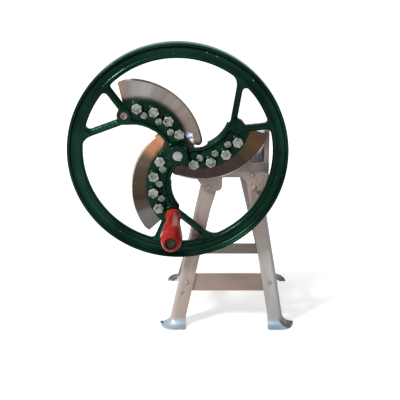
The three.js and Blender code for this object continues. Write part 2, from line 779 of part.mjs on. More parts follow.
// The section of a leg: where its outer face runs, and which way that face looks
function legSection() {
  const opening = radians(flangeOpening);
  const section = [
    { across: 0, outward: 0, faceAcross: 0, faceOutward: 1 },
    { across: flangeFront / 2, outward: 0, faceAcross: 0, faceOutward: 1 },
  ];
  for (let step = 0; step <= 3; step++) {
    const angle = Math.PI / 2 + (opening - Math.PI / 2) * step / 3;
    section.push({
      across: flangeFront - foldRadius + foldRadius * Math.cos(angle),
      outward: foldRadius * Math.sin(angle) - foldRadius,
      faceAcross: Math.cos(angle),
      faceOutward: Math.sin(angle),
    });
  }
  const fold = section.at(-1);
  for (const along of [flangeSide / 2, flangeSide - foldRadius]) {
    section.push({
      ...fold,
      across: fold.across + along * Math.sin(opening),
      outward: fold.outward - along * Math.cos(opening),
    });
  }
  return section;
}

function legStation(leg, height, rise, flare, bend) {
  // height is where the leg is cut, rise and flare the place of its outer face in the toe
  return legSection().map(({ across, outward, faceAcross, faceOutward }) => {
    const baseAcross = innerEdge(leg, height) + across;
    const baseOutward = standOut(leg, height) + outward;
    const at = (offset, up) =>
      inStand(leg, baseAcross + faceAcross * offset, baseOutward + faceOutward * offset, up);
    const back = sheet * Math.cos(bend);
    return [at(flare, rise), at(flare - back, rise - sheet * Math.sin(bend))];
  });
}

function legGeometry(leg) {
  const stations = [
    legStation(leg, legTop, legTop, 0, 0),
    legStation(leg, leg.kink, leg.kink, 0, 0),
  ];
  const steps = 4;
  const inside = toeBend - sheet;
  for (let step = 0; step <= steps; step++) {
    const bend = Math.PI / 2 * step / steps;
    const rise = toeBend - inside * Math.sin(bend);
    stations.push(legStation(leg, toeBend, rise, inside * (1 - Math.cos(bend)), bend));
  }
  stations.push(legStation(leg, toeBend, sheet, inside + toeFlat, Math.PI / 2));
  return bentSheet(stations);
}

// A point on a leg's front flange, and the way that its face looks there
function onFlange(leg, along, height, depth = 0) {
  const outward = standOut(leg, height) - depth / Math.cos(height < leg.kink ? leanAngle(leg) : 0);
  return inStand(leg, innerEdge(leg, height) + along, outward, height);
}

function flangeFace(leg, height) {
  const lean = height < leg.kink ? leanAngle(leg) : 0;
  return new THREE.Vector3(0, leg.end * Math.cos(lean), Math.sin(lean));
}

// A point inside a leg's side flange
function onSideFlange(leg, along, height, depth) {
  const opening = radians(flangeOpening);
  const { across, outward } = legSection().at(-1);
  const back = flangeSide - foldRadius - along;
  return inStand(
    leg,
    innerEdge(leg, height) + across - back * Math.sin(opening) - depth * Math.cos(opening),
    standOut(leg, height) + outward + back * Math.cos(opening) - depth * Math.sin(opening),
    height,
  );
}

// Fasteners that hold two sheets: a cup head outside, a shank, and a nut inside
function place(geometry, point, direction) {
  const turned = new THREE.Quaternion().setFromUnitVectors(new THREE.Vector3(0, 0, 1), direction);
  return geometry.applyQuaternion(turned).translate(point.x, point.y, point.z);
}

function standBolt(name, point, direction, grip) {
  const radius = legBoltDiameter / 2;
  const nutSeat = -grip - clearance;
  return {
    name,
    hole: () => place(
      rod(holeRadius(legBoltDiameter), -grip - overrun, overrun, holeFacets),
      point, direction,
    ),
    body: () => {
      const dome = [
        [0, clearance],
        [legBoltHeadRadius, clearance],
        [legBoltHeadRadius * Math.cos(Math.PI / 4),
          clearance + legBoltHeadHeight * legBoltRimShare],
        [0, clearance + legBoltHeadHeight],
      ];
      return joined([
        place(revolved(dome, 10), point, direction),
        place(rod(radius, nutSeat - legNutHeight - radius, legBoltHeadHeight / 2, holeFacets),
          point, direction),
        place(hexagon(legNutFlats, nutSeat - legNutHeight, nutSeat), point, direction),
      ]);
    },
  };
}

// The ear bolts go through plate and leg, the brace bolts through leg and brace. Points are
// in the stand's own frame here, and are turned to the wheel's frame for the main frame.
const earGrip = plateThickness + clearance + sheet;
const earBolts = legs.flatMap((leg) => legBoltDrops.map((drop, index) => {
  const point = onFlange(leg, flangeFront / 2, axleHeight - drop);
  point.y += leg.end * (plateThickness + clearance);
  const direction = new THREE.Vector3(0, leg.end, 0);
  return standBolt(`${leg.name}_bolt_${index + 1}`, point, direction, earGrip);
}));

const braceGrip = 2 * sheet + clearance;
const braceBolts = legs.map((leg) => {
  const level = leg.end < 0 ? frontBraceLevel : rearBraceLevel;
  const point = onFlange(leg, flangeFront / 2, level);
  return standBolt(leg.name.replace('leg', 'brace_bolt'), point, flangeFace(leg, level), braceGrip);
});

const toWheelFrame = (geometry) => geometry.translate(0, 0, -axleHeight).rotateX(-Math.PI / 2);
const legBolts = earBolts.map((bolt) => ({ ...bolt, hole: () => toWheelFrame(bolt.hole()) }));

function toeHoles(leg) {
  const reach = toeBend - sheet + toeFlat / 2;
  const section = legSection();
  return [section[1], section.at(-2)].map(({ across, outward, faceAcross, faceOutward }) => {
    const at = inStand(
      leg,
      innerEdge(leg, toeBend) + across + faceAcross * reach,
      standOut(leg, toeBend) + outward + faceOutward * reach,
      0,
    );
    return rod(toeHoleDiameter / 2, -overrun, sheet + overrun, 8).translate(at.x, at.y, at.z);
  });
}

function toeCorner(leg) {
  // What lies outside the round corner of the front toe, seen from above
  const end = toeBend - sheet + toeFlat;
  const at = (across, outward) => {
    const { x, y } = inStand(
      leg, innerEdge(leg, toeBend) + across, standOut(leg, toeBend) + outward, 0,
    );
    return [x, y];
  };
  const shape = new THREE.Shape();
  shape.moveTo(...at(-overrun, end - toeRound));
  shape.lineTo(...at(0, end - toeRound));
  shape.quadraticCurveTo(...at(0, end), ...at(toeRound, end));
  shape.lineTo(...at(toeRound, end + overrun));
  shape.lineTo(...at(-overrun, end + overrun));
  shape.closePath();
  return slab(shape, -overrun, toeBend, 4);
}

function legBody(leg) {
  const tools = [...toeHoles(leg), toeCorner(leg)];
  tools.push(...earBolts.filter((bolt) => bolt.name.startsWith(leg.name)).map((bolt) => bolt.hole()));
  tools.push(braceBolts[legs.indexOf(leg)].hole());
  return cut(solid(legGeometry(leg)), tools);
}

function crossBrace(end, level, height) {
  const pair = legs.filter((leg) => leg.end === end);
  const reach = flangeFront - sheet - foldRadius;
  const inside = sheet + clearance;
  const stations = pair.map((leg) => [level - height / 2, level + height / 2].map((up) => {
    const along = reach + innerEdge(leg, level) - innerEdge(leg, up);
    return [onFlange(leg, along, up, inside), onFlange(leg, along, up, inside + sheet)];
  }));
  const tools = pair.map((leg) => braceBolts[legs.indexOf(leg)].hole());
  return cut(solid(bentSheet(stations)), tools);
}

function sideBrace(side) {
  const [front, rear] = legs.filter((leg) => leg.side === side);
  const near = foldRadius + braceInset;
  const far = flangeSide - foldRadius;
  const inside = sheet + clearance;
  const levels = [sideBraceLevel - sideBraceHeight / 2, sideBraceLevel + sideBraceHeight / 2];
  const stop = (leg, along) => levels.map((up) => [
    onSideFlange(leg, along, up, inside),
    onSideFlange(leg, along, up, inside + sheet),
  ]);
  return solid(bentSheet([stop(front, near), stop(front, far), stop(rear, far), stop(rear, near)]));
}

// Putting it together
const machine = new THREE.Group();
const wheelFrame = new THREE.Group();
wheelFrame.rotation.x = Math.PI / 2;
wheelFrame.position.z = axleHeight;
machine.add(wheelFrame);

wheelFrame.add(piece('flywheel', flywheel(), greenEnamel));
const bladeBody = blade();
const bladeBoltBody = hexBolt(boltDiameter, boltHeadFlats, boltHeadHeight, bladeBoltLength);
const screwBody = hexBolt(screwDiameter, screwHeadFlats, screwHeadHeight, screwLength);
const screwTurnShare = 0.3;       // of a sixth of a turn, from one fastener to the next
armTurns.forEach((angle, arm) => {
  const armGroup = new THREE.Group();
  armGroup.rotation.z = angle;
  armGroup.add(piece(`blade_${arm + 1}`, bladeBody, bladeSteel));
  boltPlaces.forEach(([x, y], index) => {
    const bolt = piece(`blade_bolt_${arm + 1}_${index + 1}`, bladeBoltBody, zincSteel);
    bolt.position.set(x, y, padFace + clearance);
    bolt.rotation.z = (arm + index) * screwTurnShare * turn / 6;
    armGroup.add(bolt);
  });
  screwPlaces.forEach(([x, y], index) => {
    const screw = piece(`adjusting_screw_${arm + 1}_${index + 1}`, screwBody, zincSteel);
    screw.position.set(x, y, screwSeat);
    screw.rotation.z = (arm + 2 * index) * screwTurnShare * turn / 6;
    armGroup.add(screw);
  });
  wheelFrame.add(armGroup);
});

const crank = new THREE.Group();
crank.position.set(...crankPlace, 0);
const grip = piece('handle_grip', solid(revolved(gripProfile())), redLacquer);
grip.position.z = gripSeat;
crank.add(grip);
const crankBolt = piece('crank_bolt', hexBolt(
  crankBoltDiameter, boltHeadFlats, boltHeadHeight, crankHeadSeat - crankBoltEnd,
), zincSteel);
crankBolt.position.z = crankHeadSeat;
crank.add(crankBolt);
crank.add(piece('crank_nut', crankNut, zincSteel));
wheelFrame.add(crank);

wheelFrame.add(piece('wheel_shaft', wheelShaft(), turnedSteel));
wheelFrame.add(piece('hub_key', hubKey(), turnedSteel));
const frontBush = piece('front_bush', bush(), bronze);
frontBush.position.z = -plateFront;
const rearBush = piece('rear_bush', bush(), bronze);
rearBush.rotation.x = Math.PI;
rearBush.position.z = -frameBack;
wheelFrame.add(frontBush, rearBush);
wheelFrame.add(piece('shaft_collar', shaftCollar(), turnedSteel));
wheelFrame.add(piece('collar_screw', collarScrew(), zincSteel));
wheelFrame.add(piece('main_frame', mainFrame(), silverPaint));
wheelFrame.add(piece('shear_bar', shearBar(), silverPaint));
wheelFrame.add(piece('feed_trough', feedTrough(), galvanised));
troughScrewPlaces.forEach((along, index) => {
  const screw = piece(`trough_screw_${index + 1}`, troughScrew(), zincSteel);
  screw.rotation.x = -Math.PI / 2;
  screw.position.set(troughMiddle, troughFloor, -along);
  wheelFrame.add(screw);
});

legs.forEach((leg) => machine.add(piece(leg.name, legBody(leg), silverPaint)));
machine.add(piece('front_brace', crossBrace(-1, frontBraceLevel, frontBraceHeight), silverPaint));
machine.add(piece('rear_brace', crossBrace(1, rearBraceLevel, rearBraceHeight), silverPaint));
machine.add(piece('left_brace', sideBrace(-1), silverPaint));
machine.add(piece('right_brace', sideBrace(1), silverPaint));
[...earBolts, ...braceBolts].forEach((bolt) => {
  machine.add(piece(bolt.name, bolt.body(), silverPaint));
});

// The origin goes to the floor under the middle of the whole machine
machine.updateMatrixWorld(true);
const bounds = new THREE.Box3().setFromObject(machine, true);
const middle = bounds.getCenter(new THREE.Vector3());
machine.position.set(-middle.x, -middle.y, -bounds.min.z);
const vegetableCutter = new THREE.Group();
vegetableCutter.add(machine);

export default vegetableCutter;
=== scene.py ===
import bmesh
import bpy
import math
from mathutils import Matrix, Vector


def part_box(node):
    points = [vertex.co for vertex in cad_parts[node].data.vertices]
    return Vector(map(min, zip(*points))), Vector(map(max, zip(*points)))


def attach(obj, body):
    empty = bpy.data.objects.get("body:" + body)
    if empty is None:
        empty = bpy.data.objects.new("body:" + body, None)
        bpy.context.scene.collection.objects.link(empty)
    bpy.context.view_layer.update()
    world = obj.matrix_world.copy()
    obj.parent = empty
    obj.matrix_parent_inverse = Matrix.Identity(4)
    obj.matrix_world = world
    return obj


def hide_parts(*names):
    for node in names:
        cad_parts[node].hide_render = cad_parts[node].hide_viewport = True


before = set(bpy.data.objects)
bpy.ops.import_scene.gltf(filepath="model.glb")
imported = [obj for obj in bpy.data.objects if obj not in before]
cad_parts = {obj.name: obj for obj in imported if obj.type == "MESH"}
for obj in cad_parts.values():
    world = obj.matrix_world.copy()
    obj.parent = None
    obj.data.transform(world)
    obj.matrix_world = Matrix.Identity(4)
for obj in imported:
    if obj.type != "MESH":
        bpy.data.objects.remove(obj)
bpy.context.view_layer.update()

# Legs: four strips of sheet steel folded to an angle, splayed at the floor into toes.
# They are painted with aluminium paint, which has gone a warm, brownish grey.
SHEET_BREAK = 0.0006
CREASE_INSET, CREASE_HALF = 0.009, 0.001
GREYER_ACROSS = 0.12, 0.19
CLEANER_DOWN = 0.25, 0.08
RUBBED_DOWN = 0.022, 0.009


def painted(name, colour, rough=0.5, metal=0.0, gloss=0.5, tint=(1, 1, 1)):
    """A material and its nodes; the parts that differ between finishes are added to it."""
    material = bpy.data.materials.new(name)
    material.use_nodes = True
    tree = material.node_tree
    shader = tree.nodes["Principled BSDF"]
    shader.inputs["Base Color"].default_value = (*colour, 1)
    shader.inputs["Roughness"].default_value = rough
    shader.inputs["Metallic"].default_value = metal
    shader.inputs["Specular IOR Level"].default_value = gloss
    shader.inputs["Specular Tint"].default_value = (*tint, 1)
    return material, tree, shader


def node(tree, kind, links=(), **values):
    """A node of a finish: its settings by name, and its inputs as numbers or as other nodes' outputs."""
    made = tree.nodes.new("ShaderNode" + kind)
    for key, value in values.items():
        setattr(made, key, value)
    for socket, value in dict(links).items():
        if isinstance(value, bpy.types.NodeSocket):
            tree.links.new(value, made.inputs[socket])
        else:
            made.inputs[socket].default_value = value
    return made


def patches(tree, scale, detail=3, stretch=(1, 1, 1), turn=(0, 0, 0)):
    """Cloudy variation between 0 and 1, fixed to the piece."""
    place = node(tree, "TexCoord").outputs["Object"]
    laid = node(tree, "Mapping", {"Vector": place, "Scale": stretch, "Rotation": turn}).outputs[0]
    return node(tree, "TexNoise", {"Vector": laid, "Scale": scale, "Detail": detail}).outputs["Fac"]


def between(tree, amount, low, high, colour_low, colour_high):
    """One colour below low, another above high, and a run from one to the other between them."""
    ramp = node(tree, "ValToRGB", {"Fac": amount})
    ramp.color_ramp.elements[0].position = low
    ramp.color_ramp.elements[0].color = (*colour_low, 1)
    ramp.color_ramp.elements[1].position = high
    ramp.color_ramp.elements[1].color = (*colour_high, 1)
    return ramp.outputs["Color"]


def roughened(tree, shader, amount, strength, depth):
    """A small relief on the surface."""
    bump = node(tree, "Bump", {"Height": amount, "Strength": strength, "Distance": depth})
    tree.links.new(bump.outputs[0], shader.inputs["Normal"])


def mixed(tree, amount, first, second):
    """Two colours mixed by an amount."""
    mix = node(tree, "Mix", data_type="RGBA")
    for socket, value in ((0, amount), (6, first), (7, second)):
        if isinstance(value, bpy.types.NodeSocket):
            tree.links.new(value, mix.inputs[socket])
        else:
            mix.inputs[socket].default_value = value if socket == 0 else (*value, 1)
    return mix.outputs[2]


def rising(tree, value, start, end, low=0.0, high=1.0):
    """Runs from low to high while the value goes from start to end, and stays level outside."""
    return node(tree, "MapRange", {"Value": value, "From Min": start, "From Max": end,
                                   "To Min": low, "To Max": high}).outputs[0]


def aluminium_paint(name, plain, warm, worn, scale, relief, depth=0.0006):
    """Aluminium paint that has yellowed in clouds and worn off in spots."""
    material, tree, shader = painted(name, plain, rough=0.48, metal=0.2)
    clouds = patches(tree, 14)
    colour = between(tree, clouds, 0.38, 0.66, plain, warm)
    spots = patches(tree, scale, detail=6)
    worn_in = between(tree, spots, 0.66, 0.74, (0, 0, 0), (1, 1, 1))
    colour = mixed(tree, worn_in, colour, worn)
    tree.links.new(colour, shader.inputs["Base Color"])
    grain = patches(tree, scale * 6, detail=4)
    roughened(tree, shader, grain, relief, depth)
    return material, tree, shader, colour


def sheet_paint():
    """The paint on the legs and braces; the toes are brighter and bluer, where it has rubbed off, and the
    right toes beyond their crease are painted dark as painted shade.
    """
    material, tree, shader, colour = aluminium_paint(
        "sheet_paint", (0.345, 0.295, 0.262), (0.43, 0.30, 0.25), (0.22, 0.145, 0.12), 55, 0.25)
    place = node(tree, "TexCoord").outputs["Object"]
    sides = node(tree, "SeparateXYZ", {"Vector": place})
    height = sides.outputs["Z"]
    greyer = rising(tree, sides.outputs["X"], *GREYER_ACROSS)
    cleaner = rising(tree, height, *CLEANER_DOWN)
    right_grey = mixed(tree, cleaner, (0.33, 0.305, 0.275), (0.44, 0.425, 0.405))
    colour = mixed(tree, greyer, colour, right_grey)
    near_floor = rising(tree, height, *RUBBED_DOWN)
    rubbed = mixed(tree, near_floor, colour, (0.36, 0.44, 0.51))
    # On the right feet a crease runs slanting out from the leg's corner, and the toe beyond it is painted
    # dark: painted shade, as that side faces away from the light
    low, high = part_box("front_right_leg")
    crease = high.x + low.y - CREASE_INSET
    across = node(tree, "Math", {0: sides.outputs["X"], 1: sides.outputs["Y"]}, operation="ADD").outputs[0]
    beyond = rising(tree, across, crease - CREASE_HALF, crease + CREASE_HALF)
    toe_shade = node(tree, "Math", {0: near_floor, 1: beyond}, operation="MULTIPLY").outputs[0]
    rubbed = mixed(tree, toe_shade, rubbed, (0.10, 0.10, 0.10))
    tree.links.new(rubbed, shader.inputs["Base Color"])
    tree.links.new(rising(tree, near_floor, 0, 1, 0.2, 0.7), shader.inputs["Metallic"])
    return material


def finish(bm, name, material, body, sharp=38):
    """Turns a mesh in the machine's own place into a piece that rides on a body."""
    bmesh.ops.remove_doubles(bm, verts=bm.verts, dist=1e-7)
    limit = math.radians(sharp)
    for edge in bm.edges:
        edge.smooth = len(edge.link_faces) == 2 and edge.calc_face_angle(4) < limit
    for face in bm.faces:
        face.smooth = True
    mesh = bpy.data.meshes.new(name)
    bm.to_mesh(mesh)
    bm.free()
    mesh.materials.append(material)
    piece = bpy.data.objects.new(name, mesh)
    bpy.context.scene.collection.objects.link(piece)
    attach(piece, body)
    return piece


def plain_copy(cad_node):
    """The CAD node's mesh with its triangles joined up into flat faces."""
    bm = bmesh.new()
    bm.from_mesh(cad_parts[cad_node].data)
    bmesh.ops.remove_doubles(bm, verts=bm.verts, dist=1e-6)
    bmesh.ops.dissolve_limit(bm, angle_limit=math.radians(0.5), verts=bm.verts, edges=bm.edges)
    return bm


def broken_edges(bm, width, angle=50, segments=2):
    """Takes the sharpness off every edge that is sharper than the angle."""
    sharp = [e for e in bm.edges
             if len(e.link_faces) == 2 and e.calc_face_angle(0) > math.radians(angle)]
    bmesh.ops.bevel(bm, geom=sharp, offset=width, offset_type="OFFSET", segments=segments,
                    profile=0.5, affect="EDGES", material=-1, clamp_overlap=True)


def kept_inside(bm, low, high):
    """Keeps a rounded mesh within the box of its solid."""
    for point in bm.verts:
        for axis in range(3):
            point.co[axis] = min(max(point.co[axis], low[axis]), high[axis])


leg_paint = sheet_paint()
# The outer flanges of the right legs are painted darker, as painted shade on the sides that face away from
# the light
side_shade_paint = aluminium_paint(
    "painted_shade_side_paint", (0.20, 0.195, 0.185), (0.24, 0.21, 0.195), (0.10, 0.08, 0.07), 55, 0.25)[0]
for cad_name in ("front_left_leg", "front_right_leg", "rear_left_leg", "rear_right_leg"):
    leg_mesh = plain_copy(cad_name)
    broken_edges(leg_mesh, SHEET_BREAK)
    kept_inside(leg_mesh, *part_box(cad_name))
    leg = finish(leg_mesh, cad_name + "_piece", leg_paint, "stand")
    # Faces of the right legs that look sideways take the darker paint: painted shade
    if "right" in cad_name:
        leg.data.materials.append(side_shade_paint)
        for face in leg.data.polygons:
            in_side_shade = abs(face.normal.x) > max(0.35, abs(face.normal.y))
            face.material_index = 1 if in_side_shade else 0
    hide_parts(cad_name)

# Braces: flat strips between the legs, two crosswise and two bent along the sides.
# The rear one has kept a greener, darker coat than the rest.
rear_paint = aluminium_paint(
    "rear_brace_paint", (0.22, 0.20, 0.17), (0.26, 0.22, 0.18), (0.16, 0.13, 0.11), 55, 0.25)[0]
front_paint = aluminium_paint(
    "front_brace_paint", (0.28, 0.215, 0.18), (0.33, 0.235, 0.19), (0.24, 0.15, 0.12), 55, 0.25)[0]
brace_paints = {"rear_brace": rear_paint, "front_brace": front_paint}
for cad_name in ("front_brace", "rear_brace", "left_brace", "right_brace"):
    brace_mesh = plain_copy(cad_name)
    broken_edges(brace_mesh, SHEET_BREAK)
    brace = finish(brace_mesh, cad_name + "_piece", brace_paints.get(cad_name, leg_paint),
                   "stand")
    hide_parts(cad_name)

# Main frame: one iron casting with the mouth in its front plate, a bearing housing, a bed
# and a rear plate. It has cast fillets and a rough skin under its aluminium paint.
FRAME_GRAIN = 0.0016


def cast(piece, grain, passes):
    """Melts a piece's overlapping blocks into one skin with the soft corners of a casting."""
    skin = piece.modifiers.new("skin", "REMESH")
    skin.mode = "VOXEL"
    skin.voxel_size = grain
    skin.use_smooth_shade = True
    soft = piece.modifiers.new("soft", "SMOOTH")
    soft.factor = 0.5
    soft.iterations = passes
    view = bpy.context.evaluated_depsgraph_get()
    melted = bpy.data.meshes.new_from_object(piece.evaluated_get(view))
    piece.modifiers.clear()
    old = piece.data
    piece.data = melted
    bpy.data.meshes.remove(old)
    melted.polygons.foreach_set("use_smooth", [True] * len(melted.polygons))


frame_paint = aluminium_paint(
    "frame_paint", (0.30, 0.25, 0.22), (0.37, 0.27, 0.24), (0.20, 0.11, 0.09), 36, 1.0, 0.0022)[0]
main_frame = finish(plain_copy("main_frame"), "main_frame_piece", frame_paint, "stand")
cast(main_frame, FRAME_GRAIN, 3)
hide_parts("main_frame")

# Shear bar: a hard steel strip along the lower edge of the mouth, against which the blades
# cut. It lies on the front plate and is painted over with the frame.
BAR_BREAK = 0.0004
bar_paint = aluminium_paint(
    "bar_paint", (0.16, 0.135, 0.11), (0.21, 0.165, 0.14), (0.12, 0.08, 0.06), 60, 0.5)[0]
bar_mesh = plain_copy("shear_bar")
broken_edges(bar_mesh, BAR_BREAK)
shear_bar = finish(bar_mesh, "shear_bar_piece", bar_paint, "stand")
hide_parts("shear_bar")

# Feed trough: one folded galvanised sheet behind the mouth, screwed to the bed. It guides the
# vegetables to the blades, and shows the spangle of its zinc.
TROUGH_BREAK = 0.0005
SHADE_DOWN = 0.040, 0.030
SHADE_FORWARD = 0.11, 0.07
zinc_sheet, zinc_tree, zinc_shader = painted("galvanised_sheet", (0.50, 0.58, 0.66), 0.38, 0.75)
spangle_place = node(zinc_tree, "TexCoord").outputs["Object"]
spangles = node(zinc_tree, "TexVoronoi", {"Vector": spangle_place, "Scale": 90}).outputs["Color"]
spangle = node(zinc_tree, "SeparateColor", {"Color": spangles}).outputs[0]
zinc_colour = between(zinc_tree, spangle, 0.0, 1.0, (0.30, 0.38, 0.48), (0.44, 0.52, 0.60))
# Painted shade: the floor and lower walls are darkened where they meet the mouth, as the shade inside the
# mouth
trough_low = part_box("feed_trough")[0]
trough_sides = node(zinc_tree, "SeparateXYZ", {"Vector": spangle_place})
low_down = rising(zinc_tree, trough_sides.outputs["Z"], *(trough_low.z + up for up in SHADE_DOWN))
in_front = rising(zinc_tree, trough_sides.outputs["Y"], *(trough_low.y + back for back in SHADE_FORWARD))
mouth_shade = node(zinc_tree, "Math", {0: low_down, 1: in_front}, operation="MULTIPLY").outputs[0]
zinc_colour = mixed(zinc_tree, mouth_shade, zinc_colour, (0.018, 0.022, 0.034))
zinc_tree.links.new(zinc_colour, zinc_shader.inputs["Base Color"])
trough_mesh = plain_copy("feed_trough")
broken_edges(trough_mesh, TROUGH_BREAK)
trough = finish(trough_mesh, "feed_trough_piece", zinc_sheet, "stand")
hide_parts("feed_trough")

# Stand bolts: twelve steel bolts that hold the legs to the ears and the braces to the legs.
# Their round heads are outside, their hexagon nuts inside, and both are painted over.
STAND_BOLT_BREAK = 0.0003
stand_bolt_paint = painted("stand_bolt_paint", (0.33, 0.265, 0.235), 0.45, 0.25)[0]
for cad_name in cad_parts:
    if "leg_bolt" in cad_name or "brace_bolt" in cad_name:
        bolt_mesh = plain_copy(cad_name)
        broken_edges(bolt_mesh, STAND_BOLT_BREAK, angle=25, segments=1)
        stand_bolt = finish(bolt_mesh, cad_name + "_piece", stand_bolt_paint, "stand")
        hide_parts(cad_name)

# Shaft, key and collar: turned steel, still bright where it shows. They turn with the wheel in
# two flanged bronze bushes, which are pressed into the ends of the main frame's housing.
TURNED_BREAK, BUSH_BREAK = 0.0005, 0.0004
bright_steel = painted("turned_steel", (0.28, 0.26, 0.265), 0.36, 0.85)[0]
bronze = painted("bearing_bronze", (0.45, 0.28, 0.10), 0.4, 0.9)[0]
for cad_name in ("wheel_shaft", "shaft_collar", "hub_key"):
    turned_mesh = plain_copy(cad_name)
    broken_edges(turned_mesh, TURNED_BREAK)
    turned = finish(turned_mesh, cad_name + "_piece", bright_steel, "wheel")
    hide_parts(cad_name)
for cad_name in ("front_bush", "rear_bush"):
    bush_mesh = plain_copy(cad_name)
    broken_edges(bush_mesh, BUSH_BREAK)
    bush = finish(bush_mesh, cad_name + "_piece", bronze, "stand")
    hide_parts(cad_name)

# Flywheel: one iron casting, enamelled dark green. Its rim has an outer band, a channel and an
# inner ridge. Three curved, ribbed arms have bolt pads and an end boss each, and two ribbed
# prongs join each boss to the rim.
WHEEL_GRAIN = 0.00192
wheel_low, wheel_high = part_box("flywheel")
HUB_FRONT = 31
axle = Vector(((wheel_low.x + wheel_high.x) / 2, wheel_low.y + HUB_FRONT / 1000,
               (wheel_low.z + wheel_high.z) / 2))
# The wheel is drawn in millimetres as it is seen: x right, y up, z towards the viewer
seen = Matrix.Translation(axle) @ Matrix.Rotation(math.pi / 2, 4, "X") @ Matrix.Scale(0.001, 4)


def polar(radius, degrees, x=0.0, y=0.0):
    """The point at a radius and an angle round a centre."""
    angle = math.radians(degrees)
    return Vector((x + radius * math.cos(angle), y + radius * math.sin(angle), 0))


def arc(bm, x, y, radius, start, end, steps):
    """A row of points along an arc, in order, made by turning its first point."""
    before = len(bm.verts)
    first = bm.verts.new(polar(radius, start, x, y))
    bmesh.ops.spin(bm, geom=[first], cent=(x, y, 0), axis=(0, 0, 1),
                   angle=math.radians(end - start), steps=steps, use_duplicate=False)
    bm.verts.ensure_lookup_table()
    return bm.verts[before:]


def raised(bm, outline, low, high):
    """A block over an outline of points in order; gives back the points of its upper face."""
    for point in outline:
        point.co.z = low
    face = bm.faces.new(outline)
    upper = bmesh.ops.extrude_face_region(bm, geom=[face])["geom"]
    points = [item for item in upper if isinstance(item, bmesh.types.BMVert)]
    bmesh.ops.translate(bm, verts=points, vec=(0, 0, high - low))
    return points


def barrel(bm, centre, radius, low, high, sides=32):
    """A plain cylinder along z."""
    place = Matrix.Translation((centre[0], centre[1], (low + high) / 2))
    return bmesh.ops.create_cone(bm, cap_ends=True, segments=sides, radius1=radius,
                                 radius2=radius, depth=high - low, matrix=place)["verts"]


def turned_ring(bm, profile, steps, closed=True):
    """A profile of (radius, height) pairs, turned right round the z axis."""
    points = [bm.verts.new((radius, 0, height)) for radius, height in profile]
    lines = [bm.edges.new(pair) for pair in zip(points, points[1:])]
    if closed:
        lines.append(bm.edges.new((points[-1], points[0])))
    bmesh.ops.spin(bm, geom=points + lines, cent=(0, 0, 0), axis=(0, 0, 1),
                   angle=2 * math.pi, steps=steps, use_merge=True, use_duplicate=False)


def placed(bm, place=Matrix()):
    """Closes seams, turns the faces outwards and puts the mesh in the machine's place."""
    bmesh.ops.remove_doubles(bm, verts=bm.verts, dist=1e-4)
    bmesh.ops.recalc_face_normals(bm, faces=bm.faces)
    bmesh.ops.transform(bm, matrix=seen @ place, verts=bm.verts)
    return bm


RIM_INNER = 196
ARM_FRONT, ARM_BACK = 2, -13
OUTER_EDGE, OUTER_RADIUS = (-83.7, 5.3), 105
INNER_EDGE, INNER_RADIUS = (-92.4, -17.7), 82
ROOT_ANGLE, OUTER_END, INNER_END = 8, 104.5, 102.5
RIB_OUTER, RIB_INNER, RIB_TOP = 86, 78, 7
TAIL_OUTER, TAIL_INNER, TAIL_START, TAIL_END, TAIL_BACK = 84, 75.2, 53, 100, -15.5
PAD_RADIUS, PAD_FACE = 12, 7
BOSS_RADIUS, BOSS_FACE, CRANK_BOSS_FACE = 15.5, 8, 18
STRAIGHT_START, STRAIGHT_RIM_ANGLE = polar(134.5, 141.3), 136.3
FLARED_START, FLARED_RIM_ANGLE = polar(132, 148.7), 169
PRONG_BACK, FLANGE_FACE, PRONG_FACE = -8, 3, 8
# The bolts and the screws lie on two arcs round one centre, evenly spaced
ROW_CENTRE = (-87.3, -8.3)
BOLT_ROW, BOLT_START, BOLT_STEP = 103.2, 87.3, 19.7
SCREW_ROW, SCREW_START, SCREW_STEP = 90.2, 77.6, 20.9
bolt_places = [polar(BOLT_ROW, BOLT_START - BOLT_STEP * count, *ROW_CENTRE) for count in range(4)]
screw_places = [polar(SCREW_ROW, SCREW_START - SCREW_STEP * count, *ROW_CENTRE) for count in range(3)]
boss_place = polar(134.5, 144.3)
arm_turns = [Matrix.Rotation(math.radians(-120 * arm), 4, "Z") for arm in range(3)]

casting = bmesh.new()
rim_front = [(228.5, 12), (228.1, 14.6), (227, 16.3), (225.2, 17), (223.2, 16.2), (221.8, 14),
             (220, 10.5), (217, 8.4), (212, 7.4), (207, 7.4), (205, 8.6), (203.6, 10.4),
             (202, 11), (200.4, 10.4), (198, 7.8), (196.4, 5.6), (196, 4)]
rim_back = [(radius, -height) for radius, height in reversed(rim_front)]
turned_ring(casting, rim_front + rim_back, 160)
hub = [(0, -20), (24, -20), (24, -13), (26, -13), (26, 7), (22, 11), (22, 29.5), (20.5, 31), (0, 31)]
turned_ring(casting, hub, 48, closed=False)


def laid_to_rim(bm, before, outline, high, start, run):
    """Gives a prong's outline its depth, and turns it from the x axis to its run from boss to rim."""
    raised(bm, outline, PRONG_BACK, high)
    bm.verts.ensure_lookup_table()
    turn = Matrix.Translation(start) @ Matrix.Rotation(math.atan2(run.y, run.x), 4, "Z")
    bmesh.ops.transform(bm, matrix=turn, verts=bm.verts[before:])


def straight_prong(bm, right, left, high):
    """The prong that meets the rim nearly square, with a small fillet on both sides."""
    run = polar(RIM_INNER + 3, STRAIGHT_RIM_ANGLE) - STRAIGHT_START
    before = len(bm.verts)
    outline = [bm.verts.new((0, right, 0))]
    outline += arc(bm, run.length - 7, right - 5, 5, 90, 10, 4)
    outline += arc(bm, run.length - 13, left + 7, 7, -10, -90, 5)
    outline.append(bm.verts.new((0, left, 0)))
    laid_to_rim(bm, before, outline, high, STRAIGHT_START, run)


